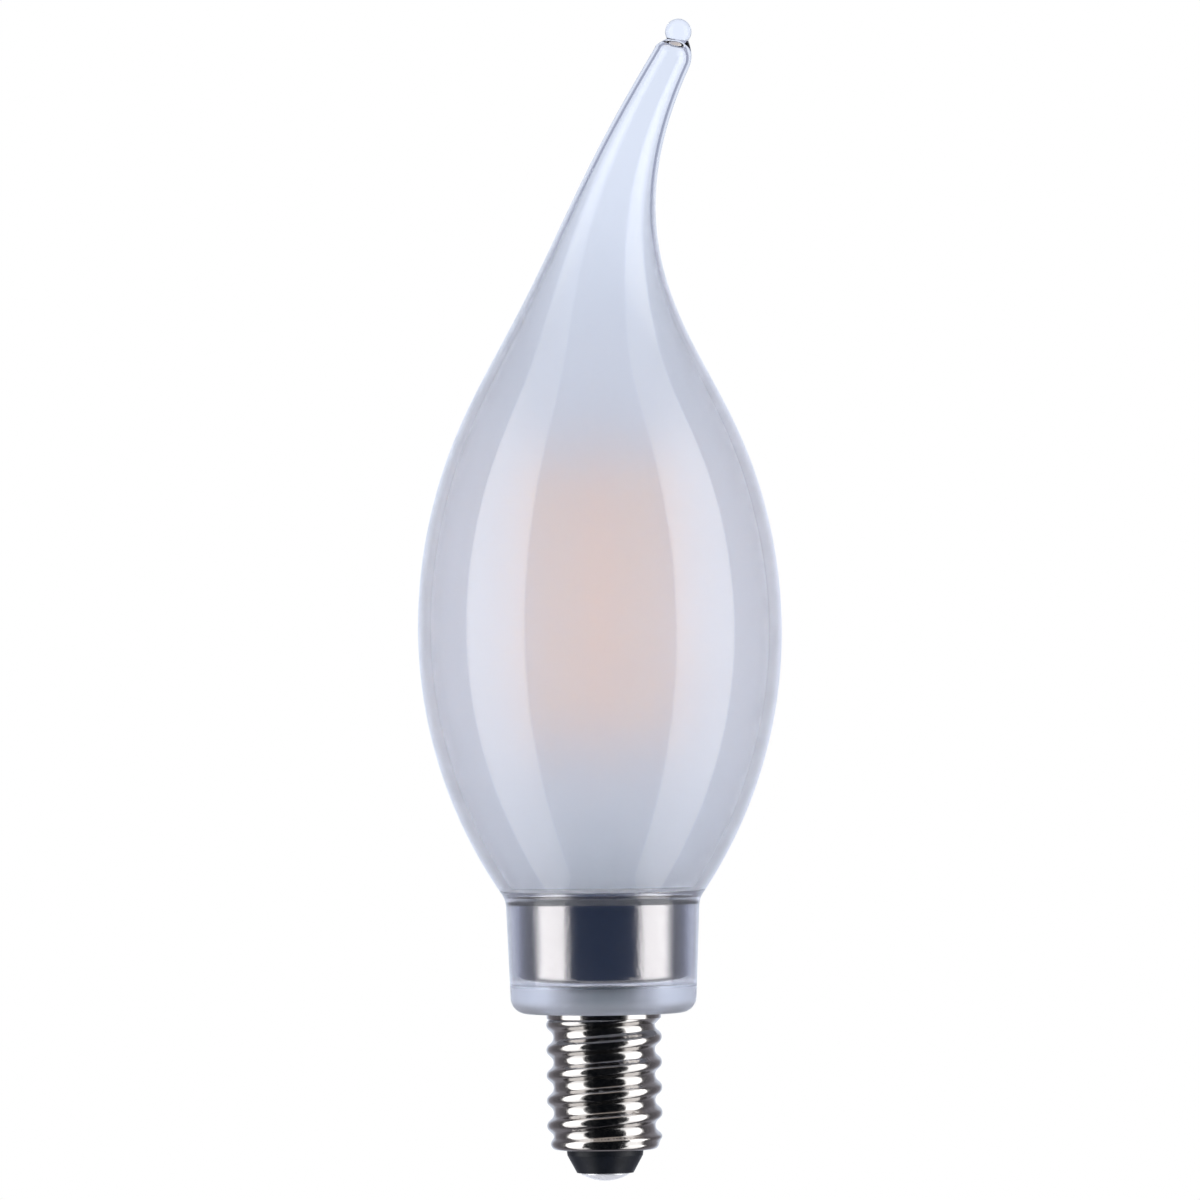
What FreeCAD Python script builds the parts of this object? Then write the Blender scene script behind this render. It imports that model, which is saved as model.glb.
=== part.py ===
import FreeCAD, Part
import math
import os

import Sketcher
from FreeCAD import Placement, Rotation, Vector

# A frosted filament lamp with a bent flame tip, standing on its small screw cap.
# The origin is the tip of the centre contact, +Z runs up the lamp's axis,
# and the flame tip bends towards +X. All sizes are in millimetres, angles in degrees.

doc = FreeCAD.newDocument("candle_bulb")

# Driving dimensions: word, value, what it measures
SIZES = [
    # Clearances shared by everything that fits together
    ("fit_gap", 0.05, "running gap between pieces that seat in each other"),
    # Centre contact and insulator
    ("contact_radius", 2.4, "radius of the domed centre contact"),
    ("contact_dome", 0.65, "height of its dome"),
    ("contact_rim", 0.15, "straight rim above the dome"),
    ("rivet_radius", 0.75, "shank of the contact inside the insulator"),
    ("rivet_length", 1.6, "length of that shank"),
    ("insulator_base_radius", 2.85, "flat underside of the black insulator"),
    ("insulator_radius", 3.87, "its largest visible radius"),
    ("insulator_height", 2.35, "underside of the insulator up to the screw shell"),
    ("insulator_cone", 1.76, "tapered part of that height"),
    ("insulator_cone_radius", 3.80, "radius at the top of the taper"),
    ("insulator_flange", 1.75, "thickness of the flange inside the shell"),
    # Screw shell with its rolled thread
    ("shell_length", 13.7, "bottom edge of the shell to the collar"),
    ("thread_radius", 5.8, "crest of the rolled thread"),
    ("thread_depth", 0.7, "crest to root"),
    ("thread_pitch", 2.54, "rise of one turn, ten turns to the inch"),
    ("crest_share", 0.45, "crest arc's share of the crest and root arcs"),
    ("thread_runout", 0.8, "height over which the thread fades at either end"),
    ("thread_phase", 80.0, "turn of the thread about the axis"),
    ("shell_wall", 0.3, "sheet thickness"),
    ("shell_round", 0.55, "rounded bottom edge"),
    ("round_inset", 0.02, "that edge inside the thread's first ring"),
    ("band_height", 0.5, "plain band at the top of the shell"),
    ("band_cone", 0.75, "taper from the band into the thread"),
    ("band_sink", 0.1, "foot of that taper below the thread's root"),
    ("band_inset", 0.05, "band inside the thread crest"),
    # Translucent collar
    ("collar_radius", 9.34, "side of the collar above its bottom corner"),
    ("collar_top_radius", 9.7, "side of the collar under its flared lip"),
    ("collar_corner", 1.6, "bottom corner round"),
    ("collar_floor", 2.85, "solid bottom, underside to the sleeve"),
    ("collar_flare_height", 1.7, "height of the flared lip"),
    ("collar_lip_inset", 0.15, "lip edge inside the edge of the glass"),
    ("spigot_length", 4.9, "tube that reaches down into the shell"),
    ("spigot_bore", 3.9, "radius of the bore for the driver board"),
    # Metal sleeve and the cement ring inside it
    ("sleeve_wall", 0.3, "sheet thickness"),
    ("sleeve_corner", 1.0, "rounded bottom corner of the sleeve"),
    ("sleeve_hole", 4.6, "hole in its floor"),
    ("sleeve_flange", 1.25, "width of its flared rim"),
    ("sleeve_flange_rise", 0.65, "rise of that rim"),
    ("cement_gap", 0.5, "ring of cement between neck and sleeve"),
    ("cement_height", 5.0, "height of that ring"),
    # Glass envelope
    ("glass_wall", 0.7, "wall of the body"),
    ("glass_radius", 18.28, "widest radius"),
    ("widest_rise", 25.95, "glass edge up to the widest level"),
    ("glass_edge_radius", 10.5, "where the body meets the collar"),
    ("glass_edge_rise", 12.55, "collar underside up to that edge"),
    ("edge_inside_round", 0.3, "inside round at that edge"),
    ("neck_step", 2.85, "edge radius less the radius of the neck"),
    ("neck_round", 1.2, "round between neck and body"),
    ("neck_length", 7.5, "neck below the body"),
    ("upper_arc_radius", 49.77, "side of the glass above the widest level"),
    ("bend_rise", 11.54, "widest level up to where the flame starts"),
    ("flame_flank", 17.5, "pull of the flank on the flame's taper"),
    ("flame_draw", 28.7, "pull of the drawn tip on the flame's taper"),
    ("tip_taper", 3.3, "half angle of the drawn tip"),
    ("tip_radius", 1.98, "tube radius where the tip's shoulder starts"),
    ("tip_wall", 0.75, "wall of the drawn tip"),
    ("bend_low", 22.36, "first pole of the bend above its start"),
    ("bend_high", 9.03, "second pole above the first"),
    ("tip_rise", 14.6, "tube end above the second pole"),
    ("tip_reach", 7.87, "tube end out from the axis"),
    ("shoulder_height", 1.8, "tube end to the waist under the bead"),
    ("waist_radius", 1.09, "waist under the bead"),
    ("bead_radius", 1.33, "glass bead on the tip"),
    ("bead_lean", 6.0, "lean of the waist from upright"),
    # Glass stem inside the neck
    ("stem_radius", 2.6, "stem tube outside"),
    ("stem_wall", 0.8, "wall of the stem tube and flare"),
    ("flare_height", 5.0, "height of the flare"),
    ("flare_rim", 0.8, "straight rim of the flare"),
    ("stem_tube", 8.85, "straight tube above the flare"),
    ("press_height", 5.0, "flattened press above the tube"),
    ("press_width", 6.6, "press, side to side"),
    ("press_depth", 2.6, "press, front to back"),
    ("rod_radius", 0.9, "glass rod that carries the top support"),
    # Filaments and the wires that hold them
    ("lead_radius", 0.25, "lead wires"),
    ("lead_spacing", 2.6, "lead wires, centre to centre"),
    ("lead_rise", 1.2, "straight lead above the press"),
    ("lead_splay", 1.6, "rise of the slanted lead"),
    ("lead_lap", 2.0, "lead wires' lap on the board"),
    ("filament_length", 26.0, "coated length of a filament"),
    ("filament_width", 1.9, "across the coated stick"),
    ("filament_depth", 1.1, "through the coated stick"),
    ("filament_crown", 0.55, "radius of its rounded edges, as a share of its depth"),
    ("filament_circle", 4.0, "filaments out from the axis"),
    ("tab_length", 1.6, "metal end of a filament"),
    ("tab_width", 0.9, "across that end"),
    ("tab_thickness", 0.2, "sheet of that end"),
    ("hub_wall", 0.35, "metal hub on top of the rod"),
    ("hub_height", 1.2, "height of the hub"),
    ("arm_radius", 0.2, "arms from the hub to the filaments"),
    # Driver board and its parts
    ("board_thickness", 0.8, "board"),
    ("board_gap", 0.05, "lead wires in front of the board"),
    ("board_foot", 1.2, "board above the insulator"),
    ("board_head", 1.2, "board below the glass neck"),
    ("capacitor_radius", 2.0, "smoothing capacitor"),
    ("capacitor_height", 6.2, "its can"),
    ("capacitor_rise", 4.3, "its foot above the board's foot"),
    ("can_round", 0.3, "rolled edges of the can"),
    ("inductor_radius", 1.6, "drum of the inductor"),
    ("inductor_height", 2.6, "its height"),
    ("inductor_rise", 1.4, "its foot above the board's foot"),
    ("drum_flange", 0.52, "thickness of the drum's flanges"),
    ("winding_depth", 0.3, "winding inside those flanges"),
    ("rectifier_width", 4.0, "bridge rectifier body"),
    ("rectifier_height", 3.6, "up the board"),
    ("rectifier_depth", 1.3, "off the board"),
    ("rectifier_rise", 6.6, "its foot above the board's foot"),
    ("chip_width", 2.9, "driver chip body"),
    ("chip_height", 2.8, "up the board"),
    ("chip_depth", 1.1, "off the board"),
    ("chip_rise", 2.2, "its foot above the board's foot"),
    ("leg_reach", 0.5, "legs out from a chip body"),
    ("leg_width", 0.5, "across a leg"),
    ("leg_thickness", 0.15, "sheet of a leg"),
    ("resistor_radius", 0.7, "fusible resistor"),
    ("resistor_length", 3.6, "end to end"),
    ("resistor_end", 0.72, "length of its metal ends"),
    ("resistor_rise", 11.8, "its axis above the board's foot"),
    ("resistor_cap", 0.08, "metal ends proud of its body"),
    ("small_chip_width", 1.6, "small resistors on the board"),
    ("small_chip_height", 0.8, "up the board"),
    ("small_chip_depth", 0.45, "off the board"),
    ("small_chip_spacing", 2.24, "a pair of them, centre to centre"),
    ("small_chip_gap", 0.48, "lower pair below the driver chip"),
    ("contact_wire_radius", 0.25, "wire to the centre contact"),
    ("contact_wire_lap", 1.0, "its lap on the board"),
    ("shell_wire_radius", 0.2, "wire to the screw shell"),
    ("shell_wire_lap", 1.4, "its lap on the board"),
]

sheet = doc.addObject("Spreadsheet::Sheet", "Sizes")
for row, (word, value, meaning) in enumerate(SIZES, start=1):
    sheet.set("A%d" % row, word)
    sheet.set("B%d" % row, str(value))
    sheet.set("C%d" % row, meaning)
    sheet.setAlias("B%d" % row, word)
doc.recompute()


def size(word):
    """The number in the sheet under that word."""
    return float(sheet.get(word))


# Levels up the axis and shared radii, as expressions in the sheet's words.
INSULATOR_BASE = "(Sizes.contact_dome + Sizes.contact_rim)"
SHELL_BASE = "(%s + Sizes.insulator_height)" % INSULATOR_BASE
SHELL_FLOOR = "(%s + Sizes.shell_wall)" % SHELL_BASE
COLLAR_BASE = "(%s + Sizes.shell_length)" % SHELL_BASE
COLLAR_FLOOR = "(%s + Sizes.collar_floor)" % COLLAR_BASE
GLASS_EDGE = "(%s + Sizes.glass_edge_rise)" % COLLAR_BASE
WIDEST = "(%s + Sizes.widest_rise)" % GLASS_EDGE
BEND_START = "(%s + Sizes.bend_rise)" % WIDEST

NECK_RADIUS = "(Sizes.glass_edge_radius - Sizes.neck_step)"
SLEEVE_BORE = "(%s + Sizes.cement_gap)" % NECK_RADIUS
SLEEVE_RADIUS = "(%s + Sizes.sleeve_wall)" % SLEEVE_BORE
THREAD_MEAN = "(Sizes.thread_radius - Sizes.thread_depth / 2)"
THREAD_ROOT = "(Sizes.thread_radius - Sizes.thread_depth)"
SHELL_BORE = "(%s - Sizes.shell_wall)" % THREAD_ROOT

# The lower side of the glass is one arc, upright at the widest level,
# and the edge round runs into it without a crease.
LOWER_SPREAD = "(Sizes.glass_radius - Sizes.glass_edge_radius)"
LOWER_ARC = "((%s^2 + Sizes.widest_rise^2) / (2 * %s))" % (LOWER_SPREAD, LOWER_SPREAD)
EDGE_SINE = "(Sizes.widest_rise / %s)" % LOWER_ARC
EDGE_COSINE = "sqrt(1 - %s^2)" % EDGE_SINE
EDGE_ROUND = "(Sizes.edge_inside_round + Sizes.glass_wall)"
ROUND_CENTRE_R = "(Sizes.glass_edge_radius - %s * %s)" % (EDGE_ROUND, EDGE_COSINE)
ROUND_CENTRE_Z = "(%s + %s * %s)" % (GLASS_EDGE, EDGE_ROUND, EDGE_SINE)
GLASS_SEAT = "(%s - %s)" % (ROUND_CENTRE_Z, EDGE_ROUND)
NECK_TOP = "(%s - Sizes.neck_round)" % GLASS_SEAT
NECK_BASE = "(%s - Sizes.neck_length)" % GLASS_SEAT

# Sides of an outline's chord, and of the lamp
LEFT, RIGHT = 1, -1
TO_PLUS_X, TO_MINUS_X = 1, -1


def role_plane(body, role):
    """The origin plane of a body that plays this role."""
    return [f for f in body.Origin.OriginFeatures if f.Role == role][0]


def new_body(label):
    body = doc.addObject("PartDesign::Body", label)
    body.Label = label
    return body


def plane_sketch(body, name, role):
    sketch = body.newObject("Sketcher::SketchObject", name)
    sketch.AttachmentSupport = [(role_plane(body, role), "")]
    sketch.MapMode = "FlatFace"
    return sketch


def hold_coordinate(sketch, point, kind, expression, other_axis):
    """Ties one coordinate of a corner to an expression, or to the other axis if it is nought."""
    if expression == "0":
        sketch.addConstraint(Sketcher.Constraint("PointOnObject", point, 1, other_axis))
        return
    rule = sketch.addConstraint(Sketcher.Constraint(kind, -1, 1, point, 1, 1.0 + point))
    sketch.setExpression("Constraints[%d]" % rule, expression)


def closed_outline(sketch, corners):
    """Draws a closed outline through corners held by expressions.

    A corner is (across, up), and (across, up, radius, side) where an arc leaves it:
    the arc's centre lies on that side of the chord to the next corner.
    """
    first_point = sketch.GeometryCount
    for index, corner in enumerate(corners):
        point = sketch.addGeometry(Part.Point(Vector(1.0 + index, 2.0 + index, 0)), True)
        hold_coordinate(sketch, point, "DistanceX", corner[0], -2)
        hold_coordinate(sketch, point, "DistanceY", corner[1], -1)
    doc.recompute()
    places = [Vector(sketch.Geometry[first_point + i].X, sketch.Geometry[first_point + i].Y, 0)
              for i in range(len(corners))]
    for index, corner in enumerate(corners):
        here, there = index, (index + 1) % len(corners)
        start, end = places[here], places[there]
        if len(corner) == 2:
            edge = sketch.addGeometry(Part.LineSegment(start, end), False)
            first = 1
        else:
            edge, first, radius = bulging_edge(sketch, start, end, corner[2], corner[3])
        sketch.addConstraint(Sketcher.Constraint("Coincident", edge, first, first_point + here, 1))
        sketch.addConstraint(Sketcher.Constraint("Coincident", edge, 3 - first, first_point + there, 1))
        if len(corner) == 4:
            rule = sketch.addConstraint(Sketcher.Constraint("Radius", edge, radius))
            sketch.setExpression("Constraints[%d]" % rule, corner[2])
    doc.recompute()


def true_value(expression):
    """The number that an expression in the sheet's words comes to."""
    gauge = doc.addObject("Part::Circle", "gauge")
    gauge.setExpression("Radius", expression)
    gauge.recompute()
    value = gauge.Radius.Value
    doc.removeObject(gauge.Name)
    return value


def bulging_edge(sketch, start, end, radius, side):
    """An arc between two corners, drawn counter-clockwise as a sketch wants it.

    Gives the edge, which of its ends is at the start corner, and its radius.
    """
    true_radius = true_value(radius)
    chord = end - start
    arm = math.sqrt(max(true_radius ** 2 - (chord.Length / 2) ** 2, 0.0))
    across = Vector(-chord.y, chord.x, 0).normalize() * side
    centre = (start + end) * 0.5 + across * arm
    middle = centre - across * true_radius
    if side == LEFT:
        return sketch.addGeometry(Part.Arc(start, middle, end), False), 1, true_radius
    return sketch.addGeometry(Part.Arc(end, middle, start), False), 2, true_radius


def turned(label, corners):
    """A body of revolution about the lamp's axis."""
    body = new_body(label)
    sketch = plane_sketch(body, label + "_section", "XZ_Plane")
    closed_outline(sketch, corners)
    turn = body.newObject("PartDesign::Revolution", label + "_turn")
    turn.Profile = sketch
    turn.ReferenceAxis = (sketch, ["V_Axis"])
    turn.Angle = 360
    return body


def bound(obj, **expressions):
    """Binds properties; a place word such as at_x stands for the placement's base."""
    for name, expression in expressions.items():
        if name.startswith("at_"):
            obj.setExpression(".Placement.Base." + name[3:], expression)
        else:
            obj.setExpression(name, expression)
    return obj


def centred_box(name, width, depth, height, across, front, foot):
    """A box with its middle at (across, front) and its foot at that level."""
    box = doc.addObject("Part::Box", name)
    bound(box, Length=width, Width=depth, Height=height,
          at_x="%s - (%s) / 2" % (across, width), at_y="%s - (%s) / 2" % (front, depth), at_z=foot)
    return box


def upright_rod(name, radius, length, across, front, foot):
    rod = doc.addObject("Part::Cylinder", name)
    return bound(rod, Radius=radius, Height=length, at_x=across, at_y=front, at_z=foot)


def joined(label, pieces):
    whole = doc.addObject("Part::MultiFuse", label)
    whole.Shapes = pieces
    whole.Label = label
    return whole


def grouped(label, pieces):
    """Like pieces that share one name but stay separate solids."""
    group = doc.addObject("Part::Compound", label)
    group.Links = pieces
    group.Label = label
    return group


def cut_away(label, base, tool):
    rest = doc.addObject("Part::Cut", label)
    rest.Base = base
    rest.Tool = tool
    rest.Label = label
    return rest


# Centre contact: a domed disc with a shank that goes up into the insulator.
def centre_contact():
    dome_radius = "((Sizes.contact_radius^2 + Sizes.contact_dome^2) / (2 * Sizes.contact_dome))"
    return turned("centre_contact", [
        ("0", "0", dome_radius, LEFT),
        ("Sizes.contact_radius", "Sizes.contact_dome"),
        ("Sizes.contact_radius", INSULATOR_BASE),
        ("Sizes.rivet_radius", INSULATOR_BASE),
        ("Sizes.rivet_radius", "%s + Sizes.rivet_length" % INSULATOR_BASE),
        ("0", "%s + Sizes.rivet_length" % INSULATOR_BASE),
    ])


# Insulator: black glass, tapered below the shell, with a flange held inside it.
FLANGE_BASE = "(%s + Sizes.fit_gap)" % SHELL_FLOOR
INSULATOR_TOP = "(%s + Sizes.insulator_flange)" % FLANGE_BASE


def insulator():
    hole = "(Sizes.rivet_radius + Sizes.fit_gap)"
    flange_radius = "(%s - Sizes.fit_gap)" % SHELL_BORE
    return turned("insulator", [
        (hole, INSULATOR_BASE),
        ("Sizes.insulator_base_radius", INSULATOR_BASE),
        ("Sizes.insulator_cone_radius", "%s + Sizes.insulator_cone" % INSULATOR_BASE),
        ("Sizes.insulator_radius", SHELL_BASE),
        ("Sizes.insulator_radius", FLANGE_BASE),
        (flange_radius, FLANGE_BASE),
        (flange_radius, INSULATOR_TOP),
        (hole, INSULATOR_TOP),
    ])


# Screw shell: thin sheet with a thread rolled through its whole wall. Each face of the
# sheet is one spline surface over rings of points, a crest arc and a root arc in turn,
# which fades into a plain cylinder at both ends. The inside is the outside set in.
POINTS_AROUND = 24
RINGS_PER_TURN = 12
DEGREE = 3
THREAD_START = "(%s + Sizes.shell_round)" % SHELL_BASE


class ThreadFace:
    """One face of the threaded sheet, the outer one or one set in from it."""

    def __init__(self, inset):
        self.start = (size("contact_dome") + size("contact_rim") + size("insulator_height")
                      + size("shell_round"))
        self.length = size("shell_length") - size("shell_round")
        self.half_pitch = size("thread_pitch") / 2
        self.half_depth = size("thread_depth") / 2
        self.mean = size("thread_radius") - self.half_depth - inset
        both_arcs = (self.half_pitch ** 2 + size("thread_depth") ** 2) / (2 * size("thread_depth"))
        self.crest_arc = both_arcs * size("crest_share") - inset
        self.root_arc = both_arcs - self.crest_arc

    def wave(self, along):
        """Height over the mean radius, that far along the axis from a crest."""
        pitch = 2 * self.half_pitch
        along = abs((along + self.half_pitch) % pitch - self.half_pitch)
        if along <= self.half_pitch * self.crest_arc / (self.crest_arc + self.root_arc):
            return self.half_depth - self.crest_arc + math.sqrt(self.crest_arc ** 2 - along ** 2)
        to_root = self.half_pitch - along
        return self.root_arc - self.half_depth - math.sqrt(self.root_arc ** 2 - to_root ** 2)

    def point(self, turn, rise):
        """On the face, at that share of a turn about the axis and that rise up the thread."""
        fade = min(1.0, min(rise, self.length - rise) / size("thread_runout"))
        fade = fade * fade * (3 - 2 * fade)
        crest_rise = 2 * self.half_pitch * (turn + size("thread_phase") / 360)
        radius = self.mean + fade * self.wave(rise - crest_rise)
        angle = 2 * math.pi * turn
        return Vector(radius * math.cos(angle), radius * math.sin(angle), self.start + rise)

    def pole(self, place, ring, rings):
        """A pole of the spline, set off from its point so that the face meets the point."""
        def point(place, ring):
            return self.point(place / POINTS_AROUND, self.length * ring / rings)

        here = point(place, ring)
        pole = here + (here * 2 - point(place - 1, ring) - point(place + 1, ring)) / 6
        if 0 < ring < rings:
            pole += (here * 2 - point(place, ring - 1) - point(place, ring + 1)) / 6
        return pole

    def core(self, name):
        """All that the face encloses, as one solid."""
        turns = self.length / (2 * self.half_pitch)
        rings = max(int(round(turns * RINGS_PER_TURN)), RINGS_PER_TURN)
        poles = [[self.pole(place, ring, rings) for ring in range(rings + 1)]
                 for place in range(POINTS_AROUND)]
        knots_around = list(range(POINTS_AROUND + 1))
        knots_along = list(range(rings - DEGREE + 2))
        ends_held = [DEGREE + 1] + [1] * (rings - DEGREE) + [DEGREE + 1]
        surface = Part.BSplineSurface()
        surface.buildFromPolesMultsKnots(poles, [1] * len(knots_around), ends_held,
                                         knots_around, knots_along, True, False, DEGREE, DEGREE)
        side = surface.toShape()
        ends = [edge for edge in side.Edges if edge.isClosed()]
        skin = Part.Shell([side] + [Part.Face(Part.Wire([edge])) for edge in ends])
        skin.sewShape()
        core = doc.addObject("Part::Feature", name)
        core.Shape = Part.Solid(skin)
        return core


def screw_shell():
    band_radius = "(Sizes.thread_radius - Sizes.band_inset)"
    band_base = "(%s - Sizes.band_height)" % COLLAR_BASE
    cone_base = "(%s - Sizes.band_cone)" % band_base
    round_radius = "(%s - Sizes.round_inset)" % THREAD_MEAN
    bottom = turned("shell_bottom", [
        ("0", SHELL_BASE),
        ("%s - Sizes.shell_round" % round_radius, SHELL_BASE, "Sizes.shell_round", LEFT),
        (round_radius, THREAD_START),
        ("0", THREAD_START),
    ])
    band = turned("shell_band", [
        ("0", cone_base),
        ("%s - Sizes.band_sink" % THREAD_ROOT, cone_base),
        (band_radius, band_base),
        (band_radius, COLLAR_BASE),
        ("0", COLLAR_BASE),
    ])
    hole = "(Sizes.insulator_radius + Sizes.fit_gap)"
    inner_round = "(Sizes.shell_round - Sizes.shell_wall)"
    inner_radius = "(%s - Sizes.shell_wall)" % round_radius
    bottom_inside = turned("shell_bottom_inside", [
        ("0", SHELL_BASE),
        (hole, SHELL_BASE),
        (hole, SHELL_FLOOR),
        ("%s - %s" % (inner_radius, inner_round), SHELL_FLOOR, inner_round, LEFT),
        (inner_radius, THREAD_START),
        ("0", THREAD_START),
    ])
    band_inside = turned("shell_band_inside", [
        ("0", cone_base),
        ("%s - Sizes.band_sink" % SHELL_BORE, cone_base),
        ("%s - Sizes.shell_wall" % band_radius, band_base),
        ("%s - Sizes.shell_wall" % band_radius, COLLAR_BASE),
        ("0", COLLAR_BASE),
    ])
    outside = ThreadFace(0.0).core("thread_outside")
    inside = ThreadFace(size("shell_wall")).core("thread_inside")
    return cut_away("screw_shell", joined("shell_outside", [outside, bottom, band]),
                    joined("shell_inside", [inside, bottom_inside, band_inside]))


# Collar: translucent plastic, one moulding with a spigot that the shell grips.
POCKET_RADIUS = "(%s + Sizes.fit_gap)" % SLEEVE_RADIUS
FLANGE_RADIUS = "(%s + Sizes.sleeve_flange)" % SLEEVE_RADIUS
FLANGE_TOP = "(%s - Sizes.fit_gap)" % GLASS_SEAT
FLANGE_EDGE = "(%s - Sizes.sleeve_wall)" % FLANGE_TOP
SLEEVE_RIM = "(%s - Sizes.sleeve_flange_rise)" % FLANGE_EDGE
SPIGOT_BASE = "(%s - Sizes.spigot_length)" % COLLAR_BASE


def collar():
    spigot_radius = "(%s - Sizes.fit_gap)" % SHELL_BORE
    seat_radius = "(%s + Sizes.fit_gap)" % FLANGE_RADIUS
    lip_round = "(%s + Sizes.fit_gap)" % EDGE_ROUND
    lip_radius = "(Sizes.glass_edge_radius - Sizes.collar_lip_inset)"
    seat_level = "(%s - sqrt(%s^2 - (%s - %s)^2))" % (ROUND_CENTRE_Z, lip_round, seat_radius, ROUND_CENTRE_R)
    lip_level = "(%s - sqrt(%s^2 - (%s - %s)^2))" % (ROUND_CENTRE_Z, lip_round, lip_radius, ROUND_CENTRE_R)
    flare_out = "(%s - Sizes.collar_top_radius)" % lip_radius
    flare_arc = "((%s^2 + Sizes.collar_flare_height^2) / (2 * %s))" % (flare_out, flare_out)
    pocket_round = "(Sizes.sleeve_corner + Sizes.fit_gap)"
    return turned("collar", [
        ("Sizes.spigot_bore", SPIGOT_BASE),
        (spigot_radius, SPIGOT_BASE),
        (spigot_radius, COLLAR_BASE),
        ("Sizes.collar_radius - Sizes.collar_corner", COLLAR_BASE, "Sizes.collar_corner", LEFT),
        ("Sizes.collar_radius", "%s + Sizes.collar_corner" % COLLAR_BASE),
        ("Sizes.collar_top_radius", "%s - Sizes.collar_flare_height" % lip_level, flare_arc, RIGHT),
        (lip_radius, lip_level, lip_round, RIGHT),
        (seat_radius, seat_level),
        (seat_radius, "%s - Sizes.fit_gap" % FLANGE_EDGE),
        (POCKET_RADIUS, "%s - Sizes.fit_gap" % SLEEVE_RIM),
        (POCKET_RADIUS, "%s + %s" % (COLLAR_FLOOR, pocket_round), pocket_round, RIGHT),
        ("%s - %s" % (POCKET_RADIUS, pocket_round), COLLAR_FLOOR),
        ("Sizes.spigot_bore", COLLAR_FLOOR),
    ])


# Metal sleeve: a drawn cup round the glass neck with a hole in its floor and a flared rim.
def metal_sleeve():
    inner_corner = "(Sizes.sleeve_corner - Sizes.sleeve_wall)"
    floor_top = "(%s + Sizes.sleeve_wall)" % COLLAR_FLOOR
    return turned("metal_sleeve", [
        ("Sizes.sleeve_hole", COLLAR_FLOOR),
        ("%s - Sizes.sleeve_corner" % SLEEVE_RADIUS, COLLAR_FLOOR, "Sizes.sleeve_corner", LEFT),
        (SLEEVE_RADIUS, "%s + Sizes.sleeve_corner" % COLLAR_FLOOR),
        (SLEEVE_RADIUS, SLEEVE_RIM),
        (FLANGE_RADIUS, FLANGE_EDGE),
        (FLANGE_RADIUS, FLANGE_TOP),
        (SLEEVE_BORE, "%s + Sizes.sleeve_wall / 2" % SLEEVE_RIM),
        (SLEEVE_BORE, "%s + Sizes.sleeve_corner" % COLLAR_FLOOR, inner_corner, RIGHT),
        ("%s - %s" % (SLEEVE_BORE, inner_corner), floor_top),
        ("Sizes.sleeve_hole", floor_top),
    ])


def neck_cement():
    inside = "(%s + Sizes.fit_gap)" % NECK_RADIUS
    outside = "(%s - Sizes.fit_gap)" % SLEEVE_BORE
    return turned("neck_cement", [
        (inside, NECK_BASE),
        (outside, NECK_BASE),
        (outside, "%s + Sizes.cement_height" % NECK_BASE),
        (inside, "%s + Sizes.cement_height" % NECK_BASE),
    ])


# Glass envelope: neck, body and the start of the flame are turned; from there the wall is
# lofted through circles square to the bent centre line, and a bead closes the tip.
FLAME_STATIONS = 14
SHOULDER_STATIONS = 5


def glass_wall_section():
    upper_centre = "(Sizes.glass_radius - Sizes.upper_arc_radius)"
    inner_upper_arc = "(Sizes.upper_arc_radius - Sizes.glass_wall)"
    inner_lower_arc = "(%s - Sizes.glass_wall)" % LOWER_ARC
    outer_end = "%s + sqrt(Sizes.upper_arc_radius^2 - Sizes.bend_rise^2)" % upper_centre
    inner_end = "%s + sqrt(%s^2 - Sizes.bend_rise^2)" % (upper_centre, inner_upper_arc)
    neck_centre = "(%s + Sizes.neck_round)" % NECK_RADIUS
    inner_neck_round = "(Sizes.neck_round + Sizes.glass_wall)"
    inner_neck = "(%s - Sizes.glass_wall)" % NECK_RADIUS
    inner_edge_r = "%s + Sizes.edge_inside_round * %s" % (ROUND_CENTRE_R, EDGE_COSINE)
    inner_edge_z = "%s - Sizes.edge_inside_round * %s" % (ROUND_CENTRE_Z, EDGE_SINE)
    return [
        (inner_neck, NECK_BASE),
        (NECK_RADIUS, NECK_BASE),
        (NECK_RADIUS, NECK_TOP, "Sizes.neck_round", RIGHT),
        (neck_centre, GLASS_SEAT),
        (ROUND_CENTRE_R, GLASS_SEAT, EDGE_ROUND, LEFT),
        ("Sizes.glass_edge_radius", GLASS_EDGE, LOWER_ARC, LEFT),
        ("Sizes.glass_radius", WIDEST, "Sizes.upper_arc_radius", LEFT),
        (outer_end, BEND_START),
        (inner_end, BEND_START, inner_upper_arc, RIGHT),
        ("Sizes.glass_radius - Sizes.glass_wall", WIDEST, inner_lower_arc, RIGHT),
        (inner_edge_r, inner_edge_z, "Sizes.edge_inside_round", RIGHT),
        (ROUND_CENTRE_R, "%s + Sizes.glass_wall" % GLASS_SEAT),
        (neck_centre, "%s + Sizes.glass_wall" % GLASS_SEAT, inner_neck_round, LEFT),
        (inner_neck, NECK_TOP),
    ]


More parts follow.
